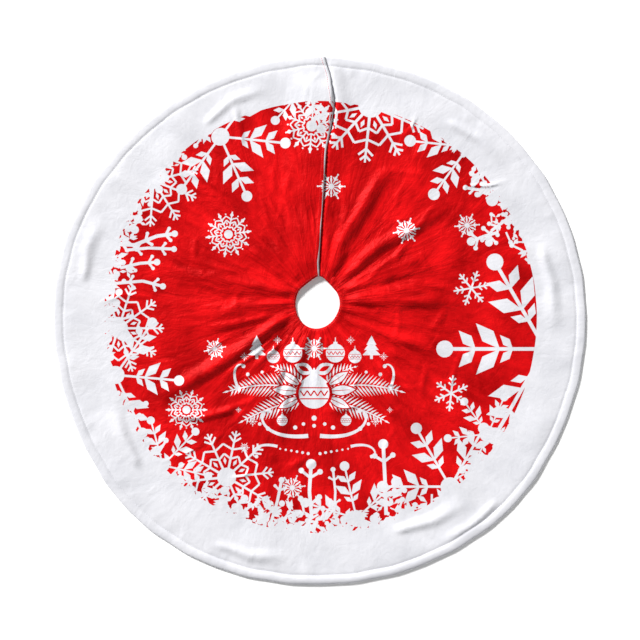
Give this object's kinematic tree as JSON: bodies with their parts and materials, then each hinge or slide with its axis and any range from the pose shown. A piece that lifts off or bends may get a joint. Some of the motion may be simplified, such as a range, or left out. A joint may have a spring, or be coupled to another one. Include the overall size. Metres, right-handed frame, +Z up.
{
  "type": "tree skirt",
  "caption": "Round printed velvet tree skirt laid flat: lined cloth with turned rim and neck hems, a trunk hole, and a slit whose flaps overlap and close with hook-and-loop tabs.",
  "frame": {"origin": "on the floor under the centre of the skirt's round rim, skirt laid flat and closed", "axes": "+Z up, +Y from the neck along the slit to the rim, +X to the right of the slit seen from above"},
  "size_m": [0.9, 0.9, 0.0127],
  "materials": {
    "printed_velvet": "short-pile polyester velvet with a printed red ground, matt with a sheen across the pile",
    "red_velvet": "the red printed velvet turned over a hem",
    "white_velvet": "the undyed white velvet of the border, turned over the rim",
    "lining_cloth": "plain woven polyester lining, matt",
    "hook_tape": "woven nylon tape with stiff hooks",
    "loop_tape": "woven nylon tape with a soft loop pile"
  },
  "bodies": {
    "right_half": {"right_half_face": "printed_velvet", "right_half_lining": "lining_cloth", "right_half_rim_hem": "white_velvet", "right_half_neck_hem": "red_velvet", "right_half_slit_hem": "red_velvet", "loop_tab_1": "loop_tape", "loop_tab_2": "loop_tape", "loop_tab_3": "loop_tape"},
    "front_left": {"front_left_face": "printed_velvet", "front_left_lining": "lining_cloth", "front_left_rim_hem": "white_velvet", "front_left_neck_hem": "red_velvet"},
    "back_left": {"back_left_face": "printed_velvet", "back_left_lining": "lining_cloth", "back_left_rim_hem": "white_velvet", "back_left_neck_hem": "red_velvet", "back_left_slit_hem": "red_velvet", "hook_tab_1": "hook_tape", "hook_tab_2": "hook_tape", "hook_tab_3": "hook_tape"}
  },
  "joints": [
    {"name": "half_fold", "type": "hinge", "parent": "right_half", "child": "front_left", "pos_m": [-0.0067, 0.0283, 0.018], "axis": [0, 1, 0], "range_deg": [0, 179.5]},
    {"name": "flap_fold", "type": "hinge", "parent": "front_left", "child": "back_left", "pos_m": [-0.0067, 0.0283, 0.012], "axis": [1, 0, 0], "range_deg": [0, 179.5]}
  ]
}
